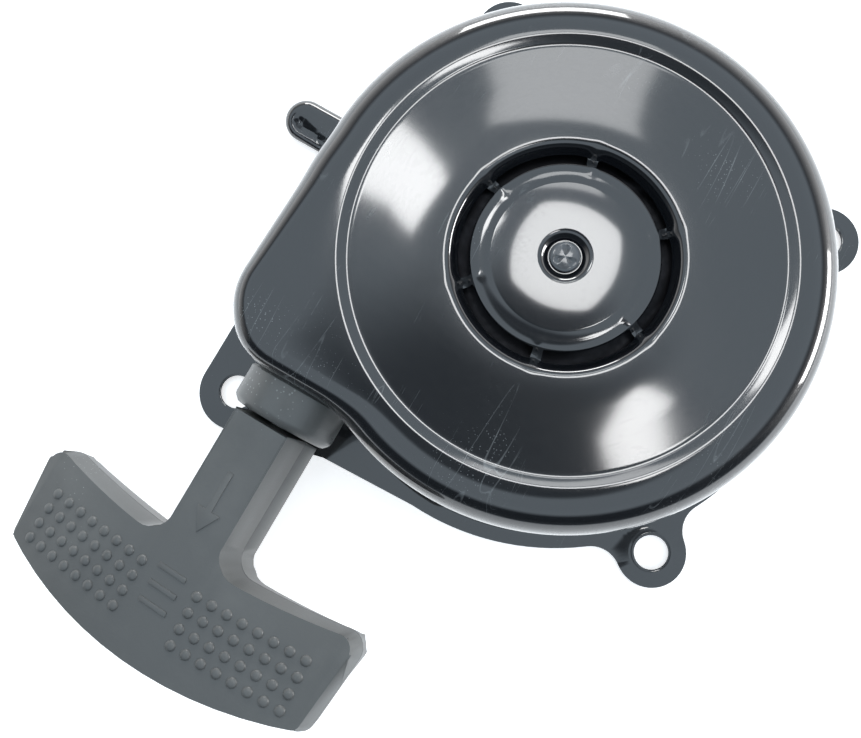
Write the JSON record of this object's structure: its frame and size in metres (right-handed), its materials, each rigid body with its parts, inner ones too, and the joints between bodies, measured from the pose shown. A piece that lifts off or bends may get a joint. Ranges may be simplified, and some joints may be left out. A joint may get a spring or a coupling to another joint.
{
  "type": "recoil starter",
  "caption": "Pull-start unit for a small engine: round pressed-steel case with mounting ears, rope reel, recoil spring, swinging pawls and a T handle.",
  "frame": {"origin": "on the reel's axis, in the plane of the flange's underside, which bolts to the engine", "axes": "+Z along the reel's axis, away from the engine; the rope pulls out along -Y, beside the case on its -X side"},
  "size_m": [0.124, 0.1582, 0.036],
  "materials": {
    "black_gloss_paint": "gloss black baked paint",
    "grey_pvc": "matte moulded PVC",
    "steel": "turned",
    "zinc": "zinc plated",
    "spring_steel": "blued",
    "nylon": "moulded black nylon",
    "bronze": "sintered, oiled",
    "rope": "braided cord",
    "dark_steel": "pressed and blackened"
  },
  "bodies": {
    "case": {"starter_case": "black_gloss_paint", "centre_post": "steel", "rope_guide": "grey_pvc", "thrust_washer": "steel", "screw_washer": "zinc", "centre_screw": "zinc", "brake_spring": "spring_steel"},
    "reel": {"reel": "nylon", "reel_bush": "bronze", "recoil_spring": "spring_steel", "spring_pin": "steel", "spring_cover": "dark_steel", "cover_screws": "zinc", "rope_winding": "rope", "reel_knot": "rope", "pawl_pins": "steel", "pawl_spring_1": "spring_steel", "pawl_spring_2": "spring_steel"},
    "pawl_1": {"pawl_1": "dark_steel"},
    "pawl_2": {"pawl_2": "dark_steel"},
    "guide_plate": {"guide_plate": "zinc"},
    "rope_end": {"rope_run": "rope", "handle_knot": "rope"},
    "handle": {"handle": "grey_pvc", "knot_washer": "zinc"}
  },
  "joints": [
    {"name": "handle_pull", "type": "slide", "parent": "case", "child": "rope_end", "axis": [0, -1, 0], "range_m": [0, 0.6]},
    {"name": "handle_twist", "type": "hinge", "parent": "rope_end", "child": "handle", "pos_m": [-0.032, -0.0528, 0.02], "axis": [0, -1, 0], "range_deg": [-90, 90]},
    {"name": "reel_turn", "type": "hinge", "parent": "case", "child": "reel", "pos_m": [0, 0, 0.012], "axis": [0, 0, 1], "range_deg": [0, 1075], "stiffness_Nm_per_rad": 0.012, "springref_deg": -538.58, "deforming": ["recoil_spring"]},
    {"name": "plate_lag", "type": "hinge", "parent": "reel", "child": "guide_plate", "pos_m": [0, 0, 0.0064], "axis": [0, 0, -1], "range_deg": [0, 20]},
    {"name": "pawl_1_swing", "type": "hinge", "parent": "reel", "child": "pawl_1", "pos_m": [0.022, 0, 0.0093], "axis": [0, 0, -1], "range_deg": [0, 35.1], "stiffness_Nm_per_rad": 0.002, "springref_deg": -11.46, "deforming": ["pawl_spring_1"]},
    {"name": "pawl_2_swing", "type": "hinge", "parent": "reel", "child": "pawl_2", "pos_m": [-0.022, 0, 0.0093], "axis": [0, 0, -1], "range_deg": [0, 35.1], "stiffness_Nm_per_rad": 0.002, "springref_deg": -11.46, "deforming": ["pawl_spring_2"]}
  ],
  "couplings": [
    {"joint": "reel_turn", "follows": "handle_pull", "rad_per_m": 31.25},
    {"joint": "pawl_1_swing", "follows": "plate_lag", "ratio": 1.75},
    {"joint": "pawl_2_swing", "follows": "plate_lag", "ratio": 1.75}
  ]
}
